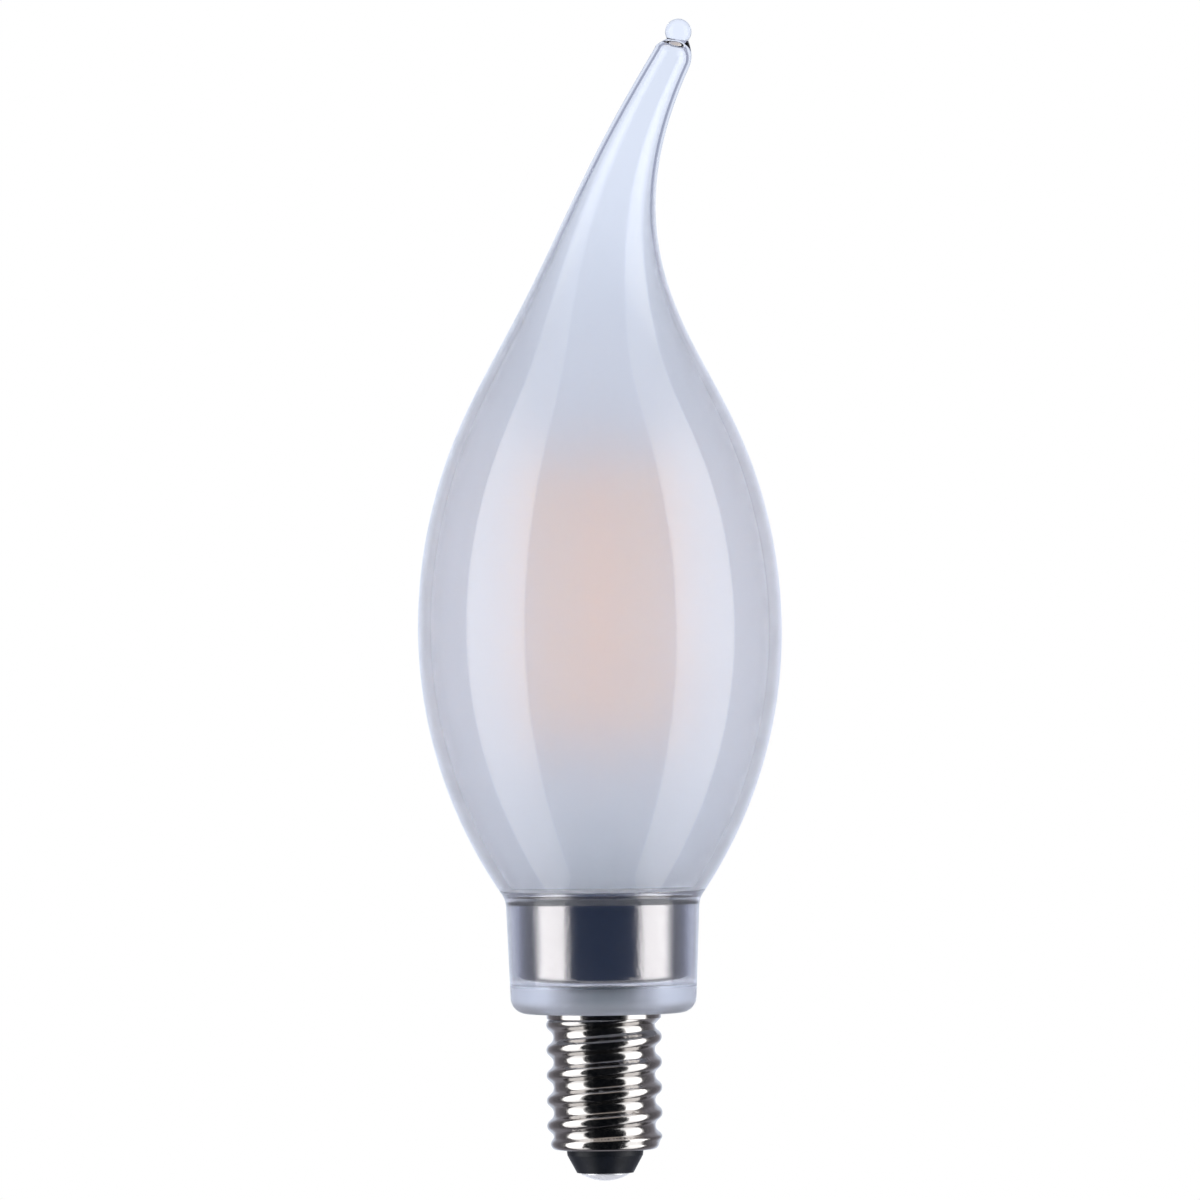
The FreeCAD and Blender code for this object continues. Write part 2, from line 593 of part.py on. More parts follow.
class Flame:
    """The bent, tapering part of the glass: a centre line and a radius along it."""

    def __init__(self):
        edge = (size("contact_dome") + size("contact_rim") + size("insulator_height")
                + size("shell_length") + size("glass_edge_rise"))
        self.foot = edge + size("widest_rise") + size("bend_rise")
        low = self.foot + size("bend_low")
        high = low + size("bend_high")
        self.line = Part.BezierCurve()
        self.line.setPoles([Vector(0, 0, self.foot), Vector(0, 0, low), Vector(0, 0, high),
                            Vector(size("tip_reach"), 0, high + size("tip_rise"))])
        self.length = self.line.length()
        arc = size("upper_arc_radius")
        centre = size("glass_radius") - arc
        start_angle = math.asin(size("bend_rise") / arc)
        self.start_outer = centre + math.sqrt(arc ** 2 - size("bend_rise") ** 2)
        self.start_inner = centre + math.sqrt((arc - size("glass_wall")) ** 2 - size("bend_rise") ** 2)
        taper = math.radians(size("tip_taper"))
        flank, draw, tip = size("flame_flank"), size("flame_draw"), size("tip_radius")
        self.profile = Part.BezierCurve()
        self.profile.setPoles([
            Vector(0, self.start_outer, 0),
            Vector(flank * math.cos(start_angle), self.start_outer - flank * math.sin(start_angle), 0),
            Vector(self.length - draw * math.cos(taper), tip + draw * math.sin(taper), 0),
            Vector(self.length, tip, 0)])
        self.end_angle = self.angle_at(self.line.LastParameter)
        self.end = self.line.value(self.line.LastParameter)

    def angle_at(self, parameter):
        """Lean of the centre line from upright, in radians."""
        way = self.line.tangent(parameter)[0]
        return math.atan2(way.x, way.z)

    def wall(self, share):
        """Level thickness of the wall, from the body's to the tip's."""
        start = self.start_outer - self.start_inner
        return start + (size("tip_wall") - start) * share

    def stations(self, inside):
        """Centre, lean and radius of each circle, up to the tube's end."""
        places = []
        for step in range(FLAME_STATIONS + 1):
            share = step / FLAME_STATIONS
            along = self.profile.value(share)
            parameter = self.line.parameterAtDistance(min(max(along.x, 0.0), self.length),
                                                      self.line.FirstParameter)
            radius = along.y - (self.wall(share) if inside else 0.0)
            places.append((self.line.value(parameter), self.angle_at(parameter), radius))
        return places

    def shoulder(self, inside):
        """The rounded end of the tube, which closes in on the waist under the bead."""
        lean = math.radians(size("bead_lean"))
        middle = (self.end_angle + lean) / 2
        way = Vector(math.sin(middle), 0, math.cos(middle))
        wall = size("tip_wall") if inside else 0.0
        height = size("shoulder_height") - wall
        waist = size("waist_radius") * (0.5 if inside else 1.0)
        start = size("tip_radius") - wall
        places = []
        for step in range(1, SHOULDER_STATIONS + 1):
            share = step / SHOULDER_STATIONS
            angle = self.end_angle + (lean - self.end_angle) * share
            radius = waist + (start - waist) * math.cos(share * math.pi / 2)
            places.append((self.end + way * (height * share), angle, radius))
        return places

    def bead_centre(self):
        waist, lean, _ = self.shoulder(inside=False)[-1]
        rise = math.sqrt(size("bead_radius") ** 2 - size("waist_radius") ** 2)
        return waist + Vector(math.sin(lean), 0, math.cos(lean)) * rise


def flame_loft(name, flame, inside):
    circles = []
    for centre, lean, radius in flame.stations(inside) + flame.shoulder(inside):
        circle = doc.addObject("Part::Circle", name + "_station")
        circle.Radius = radius
        circle.Placement = Placement(centre, Rotation(Vector(0, 1, 0), math.degrees(lean)))
        circles.append(circle)
    loft = doc.addObject("Part::Loft", name)
    loft.Sections = circles
    loft.Solid = True
    loft.Ruled = False
    return loft


def glass_envelope():
    body = turned("glass_body", glass_wall_section())
    flame = Flame()
    outside = flame_loft("flame_outside", flame, inside=False)
    inside = flame_loft("flame_inside", flame, inside=True)
    flame_wall = cut_away("flame_wall", outside, inside)
    bead = doc.addObject("Part::Sphere", "tip_bead")
    bound(bead, Radius="Sizes.bead_radius")
    bead.Placement = Placement(flame.bead_centre(), Rotation())
    return joined("glass_envelope", [body, flame_wall, bead])


# Glass stem: a flare fused into the neck, a tube, a flattened press that seals the leads,
# and a rod that carries the top support.
FLARE_RADIUS = "(%s - Sizes.glass_wall - Sizes.fit_gap)" % NECK_RADIUS
TUBE_BASE = "(%s + Sizes.flare_height)" % NECK_BASE
TUBE_TOP = "(%s + Sizes.stem_tube)" % TUBE_BASE
PRESS_TOP = "(%s + Sizes.press_height)" % TUBE_TOP
LEAD_TOP = "(%s + Sizes.lead_rise)" % PRESS_TOP
BAR_LEVEL = "(%s + Sizes.lead_splay)" % LEAD_TOP
FILAMENT_FOOT = "(%s + Sizes.lead_radius + Sizes.fit_gap + Sizes.tab_length)" % BAR_LEVEL
FILAMENT_TOP = "(%s + Sizes.filament_length)" % FILAMENT_FOOT
ARM_LEVEL = "(%s + Sizes.tab_length + Sizes.fit_gap + Sizes.arm_radius)" % FILAMENT_TOP
ROD_TOP = "(%s + Sizes.hub_height / 2)" % ARM_LEVEL


def ellipse_at(name, wide, deep, level):
    ring = doc.addObject("Part::Ellipse", name)
    return bound(ring, MajorRadius=wide, MinorRadius=deep, at_z=level)


def glass_stem():
    tube_bore = "(Sizes.stem_radius - Sizes.stem_wall)"
    flare_out = "(%s - Sizes.stem_radius)" % FLARE_RADIUS
    flare_up = "(Sizes.flare_height - Sizes.flare_rim)"
    flare_arc = "((%s^2 + %s^2) / (2 * %s))" % (flare_out, flare_up, flare_out)
    inner_arc = "(%s + Sizes.stem_wall)" % flare_arc
    flare = turned("stem_flare", [
        ("%s - Sizes.stem_wall" % FLARE_RADIUS, NECK_BASE),
        (FLARE_RADIUS, NECK_BASE),
        (FLARE_RADIUS, "%s + Sizes.flare_rim" % NECK_BASE, flare_arc, RIGHT),
        ("Sizes.stem_radius", TUBE_BASE),
        ("Sizes.stem_radius", TUBE_TOP),
        ("0", TUBE_TOP),
        ("0", "%s - Sizes.stem_wall" % TUBE_TOP),
        (tube_bore, "%s - Sizes.stem_wall" % TUBE_TOP),
        (tube_bore, TUBE_BASE, inner_arc, LEFT),
    ])
    low = ellipse_at("press_low", "Sizes.stem_radius - Sizes.stem_wall / 4",
                     "Sizes.stem_radius - Sizes.stem_wall / 2", "%s - Sizes.stem_wall / 2" % TUBE_TOP)
    middle = ellipse_at("press_middle", "Sizes.press_width / 2", "Sizes.press_depth / 2",
                        "%s + Sizes.press_height / 2" % TUBE_TOP)
    high = ellipse_at("press_high", "Sizes.press_width / 2", "Sizes.press_depth / 2", PRESS_TOP)
    press = doc.addObject("Part::Loft", "stem_press")
    press.Sections = [low, middle, high]
    press.Solid = True
    press.Ruled = False
    rod_foot = "(%s - Sizes.press_height / 2)" % PRESS_TOP
    rod = upright_rod("stem_rod", "Sizes.rod_radius", "%s - %s" % (ROD_TOP, rod_foot), "0", "0", rod_foot)
    whole = joined("stem_glass", [flare, press, rod])
    bores = [upright_rod("lead_bore", "Sizes.lead_radius", "Sizes.press_height * 2",
                         "%d * Sizes.lead_spacing / 2" % side, "0",
                         "%s - Sizes.press_height / 2" % TUBE_TOP) for side in (TO_PLUS_X, TO_MINUS_X)]
    return cut_away("glass_stem", whole, joined("lead_bores", bores))


# Lead wires: straight from the board through the press, then slanted out to a cross bar
# that two filaments stand on.
BOARD_FRONT = "(0 - Sizes.lead_radius - Sizes.board_gap)"
BOARD_MIDDLE = "(%s - Sizes.board_thickness / 2)" % BOARD_FRONT
BOARD_BACK = "(%s - Sizes.board_thickness)" % BOARD_FRONT
BOARD_FOOT = "(%s + Sizes.board_foot)" % INSULATOR_TOP
BOARD_TOP = "(%s - Sizes.board_head)" % NECK_BASE
LEAD_FOOT = "(%s - Sizes.lead_lap)" % BOARD_TOP
DIAGONAL = "(Sizes.filament_circle * sqrt(0.5))"


def lead_wire(label, side):
    straight = upright_rod(label + "_straight", "Sizes.lead_radius", "%s - %s" % (LEAD_TOP, LEAD_FOOT),
                           "%d * Sizes.lead_spacing / 2" % side, "0", LEAD_FOOT)
    out = "(%s - Sizes.lead_spacing / 2)" % DIAGONAL
    slant = doc.addObject("Part::Cylinder", label + "_slant")
    bound(slant, Radius="Sizes.lead_radius", Height="sqrt(%s^2 + Sizes.lead_splay^2)" % out,
          at_x="%d * Sizes.lead_spacing / 2" % side, at_z=LEAD_TOP)
    slant.Placement.Rotation = Rotation(Vector(0, 1, 0), 45)
    slant.setExpression(".Placement.Rotation.Angle", "%d * atan(%s / Sizes.lead_splay)" % (side, out))
    bar = doc.addObject("Part::Cylinder", label + "_bar")
    bound(bar, Radius="Sizes.lead_radius", Height="2 * %s + Sizes.tab_width" % DIAGONAL,
          at_x="%d * %s" % (side, DIAGONAL), at_y="%s + Sizes.tab_width / 2" % DIAGONAL, at_z=BAR_LEVEL)
    bar.Placement.Rotation = Rotation(Vector(1, 0, 0), 90)
    knee = doc.addObject("Part::Sphere", label + "_knee")
    bound(knee, Radius="Sizes.lead_radius", at_x="%d * Sizes.lead_spacing / 2" % side, at_z=LEAD_TOP)
    return joined(label, [straight, knee, slant, bar])


# Filaments: coated sticks on four corners round the axis, each with a metal tab at either end.
CORNERS = [(1, 1), (-1, 1), (-1, -1), (1, -1)]


def filament(label, corner):
    body = new_body(label)
    sketch = plane_sketch(body, label + "_section", "XY_Plane")
    bulge = "Sizes.filament_depth * (Sizes.filament_crown - sqrt(Sizes.filament_crown^2 - 0.25))"
    flat = "(Sizes.filament_width / 2 - %s)" % bulge
    deep = "Sizes.filament_depth / 2"
    crown = "Sizes.filament_depth * Sizes.filament_crown"
    closed_outline(sketch, [
        ("0 - %s" % flat, "0 - %s" % deep),
        (flat, "0 - %s" % deep, crown, LEFT),
        (flat, deep),
        ("0 - %s" % flat, deep, crown, LEFT),
    ])
    pad = body.newObject("PartDesign::Pad", label + "_pad")
    pad.Profile = sketch
    pad.setExpression("Length", "Sizes.filament_length")
    turn = math.degrees(math.atan2(corner[1], corner[0])) + 90
    body.Placement = Placement(Vector(0, 0, 0), Rotation(Vector(0, 0, 1), turn))
    return bound(body, at_x="%d * %s" % (corner[0], DIAGONAL), at_y="%d * %s" % (corner[1], DIAGONAL),
                 at_z=FILAMENT_FOOT)


def filament_tabs():
    tabs = []
    for across, front in CORNERS:
        for foot in ("%s - Sizes.tab_length" % FILAMENT_FOOT, FILAMENT_TOP):
            tabs.append(centred_box("tab", "Sizes.tab_thickness", "Sizes.tab_width", "Sizes.tab_length",
                                    "%d * %s" % (across, DIAGONAL), "%d * %s" % (front, DIAGONAL), foot))
    return grouped("filament_tabs", tabs)


def top_support():
    """A metal hub crimped on the rod, with an arm over each filament's top tab."""
    bore = "(Sizes.rod_radius + Sizes.fit_gap)"
    hub = turned("support_hub", [
        (bore, "%s - Sizes.hub_height / 2" % ARM_LEVEL),
        ("%s + Sizes.hub_wall" % bore, "%s - Sizes.hub_height / 2" % ARM_LEVEL),
        ("%s + Sizes.hub_wall" % bore, "%s + Sizes.hub_height / 2" % ARM_LEVEL),
        (bore, "%s + Sizes.hub_height / 2" % ARM_LEVEL),
    ])
    pieces = [hub]
    start = "(%s + Sizes.hub_wall / 2)" % bore
    for across, front in CORNERS:
        turn = math.degrees(math.atan2(front, across))
        arm = doc.addObject("Part::Cylinder", "support_arm")
        arm.Placement = Placement(Vector(0, 0, 0), Rotation(turn, 90, 0))
        bound(arm, Radius="Sizes.arm_radius",
              Height="Sizes.filament_circle + Sizes.tab_width / 2 - %s" % start,
              at_x="%d * %s * sqrt(0.5)" % (across, start), at_y="%d * %s * sqrt(0.5)" % (front, start),
              at_z=ARM_LEVEL)
        pieces.append(arm)
    return joined("top_support", pieces)


# Driver: a narrow board that stands in the collar's bore, with its parts on both faces.
BOARD_WIDTH = "(2 * sqrt((Sizes.spigot_bore - Sizes.fit_gap)^2 - %s^2))" % BOARD_BACK


def circuit_board():
    board = centred_box("circuit_board", BOARD_WIDTH, "Sizes.board_thickness",
                        "%s - %s" % (BOARD_TOP, BOARD_FOOT), "0", BOARD_MIDDLE, BOARD_FOOT)
    board.Label = "circuit_board"
    return board


def drum(label, radius, height, foot, corners_of):
    """A turned part that stands on its own axis in front of the board."""
    body = turned(label, corners_of(radius, height))
    return bound(body, at_y="%s + Sizes.fit_gap + %s" % (BOARD_FRONT, radius), at_z=foot)


def capacitor_section(radius, height):
    edge = "Sizes.can_round"
    return [
        ("0", "0"),
        ("%s - %s" % (radius, edge), "0", edge, LEFT),
        (radius, edge),
        (radius, "%s - %s" % (height, edge), edge, LEFT),
        ("%s - %s" % (radius, edge), height),
        ("0", height),
    ]


def inductor_section(radius, height):
    waist = "%s - Sizes.winding_depth" % radius
    return [
        ("0", "0"),
        (radius, "0"),
        (radius, "Sizes.drum_flange"),
        (waist, "Sizes.drum_flange"),
        (waist, "%s - Sizes.drum_flange" % height),
        (radius, "%s - Sizes.drum_flange" % height),
        (radius, height),
        ("0", height),
    ]


def smoothing_capacitor():
    return drum("smoothing_capacitor", "Sizes.capacitor_radius", "Sizes.capacitor_height",
                "%s + Sizes.capacitor_rise" % BOARD_FOOT, capacitor_section)


def inductor():
    return drum("inductor", "Sizes.inductor_radius", "Sizes.inductor_height",
                "%s + Sizes.inductor_rise" % BOARD_FOOT, inductor_section)


def legged_chip(label, stem, leg_rows):
    """A moulded chip on the back of the board with legs out to both sides."""
    width, height, depth = ("Sizes.%s_width" % stem, "Sizes.%s_height" % stem, "Sizes.%s_depth" % stem)
    foot = "(%s + Sizes.%s_rise)" % (BOARD_FOOT, stem)
    back = "(%s - Sizes.fit_gap)" % BOARD_BACK
    body = centred_box(label + "_body", width, depth, height, "0", "%s - %s / 2" % (back, depth), foot)
    pieces = [body]
    for side, rows in zip((TO_PLUS_X, TO_MINUS_X), leg_rows):
        for row in range(rows):
            level = "%s + %s * (%d + 0.5) / %d - Sizes.leg_width / 2" % (foot, height, row, rows)
            pieces.append(centred_box(
                label + "_leg", "Sizes.leg_reach * 2", "Sizes.leg_thickness", "Sizes.leg_width",
                "%d * %s / 2" % (side, width), "%s - Sizes.leg_thickness / 2" % back, level))
    return joined(label, pieces)


def fusible_resistor():
    """A small cylinder with metal ends, lying across the back of the board."""
    reach = "(Sizes.resistor_radius + Sizes.resistor_cap)"
    front = "%s - Sizes.fit_gap - %s" % (BOARD_BACK, reach)
    level = "%s + Sizes.resistor_rise" % BOARD_FOOT
    near_end = "0 - Sizes.resistor_length / 2"
    far_end = "Sizes.resistor_length / 2 - Sizes.resistor_end"
    pieces = []
    for name, radius, start, length in (
            ("resistor_body", "Sizes.resistor_radius", near_end, "Sizes.resistor_length"),
            ("resistor_near_end", reach, near_end, "Sizes.resistor_end"),
            ("resistor_far_end", reach, far_end, "Sizes.resistor_end")):
        part = doc.addObject("Part::Cylinder", name)
        part.Placement = Placement(Vector(0, 0, 0), Rotation(Vector(0, 1, 0), 90))
        bound(part, Radius=radius, Height=length, at_x=start, at_y=front, at_z=level)
        pieces.append(part)
    return joined("fusible_resistor", pieces)


def small_chips():
    """Small resistors in the free places on the back of the board."""
    back = "(%s - Sizes.fit_gap)" % BOARD_BACK
    below_chip = "%s + Sizes.chip_rise - Sizes.small_chip_gap - Sizes.small_chip_height" % BOARD_FOOT
    above_chip = ("%s + (Sizes.chip_rise + Sizes.chip_height + Sizes.rectifier_rise) / 2"
                  " - Sizes.small_chip_height / 2" % BOARD_FOOT)
    chips = []
    for foot in (below_chip, above_chip):
        for side in (TO_PLUS_X, TO_MINUS_X):
            chips.append(centred_box(
                "small_chip", "Sizes.small_chip_width", "Sizes.small_chip_depth", "Sizes.small_chip_height",
                "%d * Sizes.small_chip_spacing / 2" % side, "%s - Sizes.small_chip_depth / 2" % back, foot))
    return grouped("small_chips", chips)


def contact_wire():
    foot = "(%s + Sizes.rivet_length)" % INSULATOR_BASE
    wire = upright_rod("contact_wire", "Sizes.contact_wire_radius",
                       "%s + Sizes.contact_wire_lap - %s" % (BOARD_FOOT, foot), "0",
                       "%s + Sizes.fit_gap + Sizes.contact_wire_radius" % BOARD_FRONT, foot)
    wire.Label = "contact_wire"
    return wire


def shell_wire():
    """From the front of the board straight out to a root of the shell's thread."""
    pitch = size("thread_pitch")
    start = size("contact_dome") + size("contact_rim") + size("insulator_height") + size("shell_round")
    board_foot = (start - size("shell_round") + size("shell_wall") + size("fit_gap")
                  + size("insulator_flange") + size("board_foot"))
    first_root = start + pitch * (size("thread_phase") / 360.0 + 0.5)
    wanted = board_foot + size("shell_wire_radius") + size("fit_gap") + pitch / 2
    level = first_root + pitch * round((wanted - first_root) / pitch)
    wire = doc.addObject("Part::Cylinder", "shell_wire")
    wire.Placement = Placement(Vector(0, 0, level), Rotation(Vector(0, 1, 0), 90))
    inner = "(%s / 2 - Sizes.shell_wire_lap)" % BOARD_WIDTH
    bound(wire, Radius="Sizes.shell_wire_radius", Height="%s - Sizes.fit_gap - %s" % (SHELL_BORE, inner),
          at_x=inner, at_y="%s + Sizes.fit_gap + Sizes.shell_wire_radius" % BOARD_FRONT)
    wire.Label = "shell_wire"
    return wire


parts = [
    centre_contact(),
    insulator(),
    screw_shell(),
    collar(),
    metal_sleeve(),
    neck_cement(),
    glass_envelope(),
    glass_stem(),
    lead_wire("lead_wire_left", TO_MINUS_X),
    lead_wire("lead_wire_right", TO_PLUS_X),
]
parts += [filament("filament_%d" % number, corner) for number, corner in enumerate(CORNERS, start=1)]
parts += [
    filament_tabs(),
    top_support(),
    circuit_board(),
    smoothing_capacitor(),
    inductor(),
    legged_chip("bridge_rectifier", "rectifier", (2, 2)),
    legged_chip("driver_chip", "chip", (3, 2)),
    fusible_resistor(),
    small_chips(),
    contact_wire(),
    shell_wire(),
]
doc.recompute()

for obj in doc.Objects:
    if "Invalid" in obj.State or "Error" in obj.State:
        raise RuntimeError("%s failed to build: %s" % (obj.Label, obj.State))
for part in parts:
    if part.Shape.isNull() or not part.Shape.isValid() or not part.Shape.Solids:
        raise RuntimeError("%s has no valid solid" % part.Label)

os.makedirs("parts", exist_ok=True)
for part in parts:
    part.Shape.exportStep(os.path.join("parts", part.Label + ".step"))
print("wrote %d parts" % len(parts))
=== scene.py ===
import math

import bmesh
import bpy
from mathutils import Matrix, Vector


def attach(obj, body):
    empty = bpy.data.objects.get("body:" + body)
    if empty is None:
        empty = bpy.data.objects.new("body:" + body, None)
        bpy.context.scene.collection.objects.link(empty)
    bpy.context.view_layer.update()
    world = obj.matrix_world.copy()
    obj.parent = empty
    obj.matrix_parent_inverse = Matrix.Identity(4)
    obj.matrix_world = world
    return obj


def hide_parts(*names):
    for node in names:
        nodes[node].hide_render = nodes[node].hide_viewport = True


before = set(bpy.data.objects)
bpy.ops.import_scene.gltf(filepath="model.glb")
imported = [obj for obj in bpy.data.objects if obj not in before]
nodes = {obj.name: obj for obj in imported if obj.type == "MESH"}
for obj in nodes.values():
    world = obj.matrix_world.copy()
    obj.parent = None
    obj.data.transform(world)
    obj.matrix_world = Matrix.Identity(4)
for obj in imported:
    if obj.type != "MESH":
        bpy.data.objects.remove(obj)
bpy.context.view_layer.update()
MM = 0.001

# Camera: level with the middle of the picture, which the lamp nearly fills.
CAMERA_DISTANCE = 1100 * MM
FRAME_WIDTH = 120.6 * MM
FRAME_MIDDLE = Vector((0.04 * MM, 0, 58.34 * MM))
LAMP_LEAN = math.radians(0.58)
SENSOR = 36.0

# Glass: the solid's own sizes, but for the tip's wall, which is thinner here
NECK_BASE, NECK_TOP, NECK_RADIUS, NECK_ROUND = 21.45, 27.75, 7.65, 1.2
EDGE_LEVEL, EDGE_RADIUS, EDGE_ROUND = 29.40, 10.5, 1.0
WIDEST_LEVEL, WIDEST_RADIUS = 55.35, 18.28
UPPER_ARC = 49.77
BEND_RISE = 11.54
GLASS_WALL, TIP_WALL = 0.7, 0.5
FLAME_FLANK, FLAME_DRAW, TIP_TAPER, TIP_RADIUS = 17.5, 28.7, math.radians(3.3), 1.98
BEND_LOW, BEND_HIGH, TIP_RISE, TIP_REACH = 22.36, 9.03, 14.6, 7.87
SHOULDER_HEIGHT, WAIST_RADIUS, BEAD_RADIUS, BEAD_LEAN = 1.8, 1.09, 1.33, math.radians(6.0)
SEGMENTS = 160
ROUND_STEPS, LOWER_STEPS, UPPER_STEPS = 12, 70, 32
OUTER_FLAME_STEPS, INNER_FLAME_STEPS, SHOULDER_STEPS, BEAD_STEPS = 150, 110, 16, 28

# Finishes that change with the level, in millimetres
FROST_FADE = (74, 106)
FROST_ROUGHNESS, FROST_IOR = 0.85, 1.5
POWDER_SHARE = 0.2
GLASS_IOR = 1.45
# Painted shade: a grey specular tint that dims the reflections of the clear tip.
TIP_PAINTED_SHADE = 0.35
COLLAR_CLOUD_FADE, COLLAR_RIM_FADE = (18.4, 20.6), (17.7, 18.6)
COLLAR_CLOUD = (0.25, 0.02)
COLLAR_RIM_CLOUD = 0.18
CLOUD_COLOUR = (0.93, 0.94, 1.0, 1.0)


def arc_points(centre, radius, start, end, steps):
    """Points (radius, level) on an arc, without its first one."""
    angles = [start + (end - start) * i / steps for i in range(1, steps + 1)]
    return [(centre[0] + radius * math.cos(a), centre[1] + radius * math.sin(a)) for a in angles]


def body_outline(inset):
    """Radius and level of the turned part of the glass, from the neck up, set in by a wall."""
    spread = WIDEST_RADIUS - EDGE_RADIUS
    rise = WIDEST_LEVEL - EDGE_LEVEL
    lower_arc = (spread ** 2 + rise ** 2) / (2 * spread)
    foot = math.asin(rise / lower_arc)
    round_r = EDGE_RADIUS - EDGE_ROUND * math.cos(foot)
    round_z = EDGE_LEVEL + EDGE_ROUND * math.sin(foot)
    neck_centre = (NECK_RADIUS + NECK_ROUND, NECK_TOP)
    head = math.asin(BEND_RISE / UPPER_ARC)
    points = [(NECK_RADIUS - inset, NECK_BASE), (NECK_RADIUS - inset, NECK_TOP)]
    points += arc_points(neck_centre, NECK_ROUND + inset, math.pi, math.pi / 2, ROUND_STEPS)
    points += arc_points((round_r, round_z), EDGE_ROUND - inset, -math.pi / 2, -foot, ROUND_STEPS)
    points += arc_points((WIDEST_RADIUS - lower_arc, WIDEST_LEVEL), lower_arc - inset,
                         -foot, 0, LOWER_STEPS)
    points += arc_points((WIDEST_RADIUS - UPPER_ARC, WIDEST_LEVEL), UPPER_ARC - inset,
                         0, head, UPPER_STEPS)
    return points


def bezier(poles, t):
    """Point on a cubic Bezier curve; a pole is a tuple of numbers."""
    weights = ((1 - t) ** 3, 3 * t * (1 - t) ** 2, 3 * t * t * (1 - t), t ** 3)
    return tuple(sum(w * p[k] for w, p in zip(weights, poles)) for k in range(len(poles[0])))


def slope_angle(poles, t):
    """Lean of a cubic Bezier curve from upright."""
    weights = (-(1 - t) ** 2, (1 - t) ** 2 - 2 * t * (1 - t), 2 * t * (1 - t) - t * t, t * t)
    across, up = (sum(w * p[k] for w, p in zip(weights, poles)) for k in (0, 1))
    return math.atan2(across, up)


class Flame:
    """The bent tip of the glass: rings (centre across, level, lean, radius) up its centre line."""

    FINE = 600

    def __init__(self):
        foot = WIDEST_LEVEL + BEND_RISE
        low, high = foot + BEND_LOW, foot + BEND_LOW + BEND_HIGH
        self.line = ((0, foot), (0, low), (0, high), (TIP_REACH, high + TIP_RISE))
        self.lengths = [0.0]
        last = self.line[0]
        for i in range(1, self.FINE + 1):
            here = bezier(self.line, i / self.FINE)
            self.lengths.append(self.lengths[-1] + math.dist(here, last))
            last = here
        self.length = self.lengths[-1]
        self.start_angle = math.asin(BEND_RISE / UPPER_ARC)
        self.start_radius = WIDEST_RADIUS - UPPER_ARC + UPPER_ARC * math.cos(self.start_angle)

    def parameter(self, distance):
        """Where on the line that length from its start is."""
        step = next((i for i, run in enumerate(self.lengths) if run >= distance), self.FINE)
        if step == 0:
            return 0.0
        before, after = self.lengths[step - 1], self.lengths[step]
        return (step - 1 + (distance - before) / (after - before)) / self.FINE

    def rings(self, inside, steps):
        """The flame's own rings, of its outer or its inner skin."""
        wall_start = GLASS_WALL / math.cos(self.start_angle)
        profile = ((0, self.start_radius),
                   (FLAME_FLANK * math.cos(self.start_angle),
                    self.start_radius - FLAME_FLANK * math.sin(self.start_angle)),
                   (self.length - FLAME_DRAW * math.cos(TIP_TAPER),
                    TIP_RADIUS + FLAME_DRAW * math.sin(TIP_TAPER)),
                   (self.length, TIP_RADIUS))
        rings = []
        for i in range(1, steps + 1):
            share = i / steps
            distance, radius = bezier(profile, share)
            t = self.parameter(min(distance, self.length))
            wall = wall_start + (TIP_WALL - wall_start) * share if inside else 0.0
            rings.append((*bezier(self.line, t), slope_angle(self.line, t), radius - wall))
        return rings

    def shoulder(self, inside, steps):
        """The round end of the drawn tube, closing in on the waist."""
        across, level, lean, radius = self.rings(inside, 1)[-1]
        middle = (lean + BEAD_LEAN) / 2
        height = SHOULDER_HEIGHT - (TIP_WALL if inside else 0.0)
        waist = 0.0 if inside else WAIST_RADIUS
        rings = []
        for i in range(1, steps + 1):
            share = i / steps
            run = height * (math.sin(share * math.pi / 2) if inside else share)
            rings.append((across + math.sin(middle) * run, level + math.cos(middle) * run,
                          lean + (BEAD_LEAN - lean) * share,
                          waist + (radius - waist) * math.cos(share * math.pi / 2)))
        return rings

    def bead(self, steps):
        """The melted bead on the waist, up to just under its pole."""
        across, level, _, _ = self.shoulder(False, 1)[-1]
        start = -math.acos(WAIST_RADIUS / BEAD_RADIUS)
        rise = -BEAD_RADIUS * math.sin(start)
        rings = []
        for i in range(1, steps + 1):
            angle = start + (math.pi / 2 - start) * i / steps
            run = rise + BEAD_RADIUS * math.sin(angle)
            rings.append((across + math.sin(BEAD_LEAN) * run, level + math.cos(BEAD_LEAN) * run,
                          BEAD_LEAN, BEAD_RADIUS * math.cos(angle)))
        return rings


def ring_vertices(shape, ring):
    across, level, lean, radius = ring
    middle = Vector((across, 0, level))
    side = Vector((math.cos(lean), 0, -math.sin(lean)))
    deep = Vector((0, 1, 0))
    turns = (2 * math.pi * i / SEGMENTS for i in range(SEGMENTS))
    spokes = (side * math.cos(a) + deep * math.sin(a) for a in turns)
    return [shape.verts.new((middle + spoke * radius) * MM) for spoke in spokes]


def bridge(shape, lower, upper, slot):
    """A band of faces between two loops of vertices."""
    for i in range(SEGMENTS):
        after = (i + 1) % SEGMENTS
        face = shape.faces.new((lower[i], lower[after], upper[after], upper[i]))
        face.material_index = slot
        face.smooth = True


def skin(shape, rings, slot):
    """A tube through the rings, closed by a pole at its last one; gives its first ring."""
    loops = [ring_vertices(shape, ring) for ring in rings[:-1]]
    for lower, upper in zip(loops, loops[1:]):
        bridge(shape, lower, upper, slot)
    across, level, _, _ = rings[-1]
    pole = shape.verts.new(Vector((across, 0, level)) * MM)
    for i in range(SEGMENTS):
        face = shape.faces.new((loops[-1][i], loops[-1][(i + 1) % SEGMENTS], pole))
        face.material_index = slot
        face.smooth = True
    return loops[0]


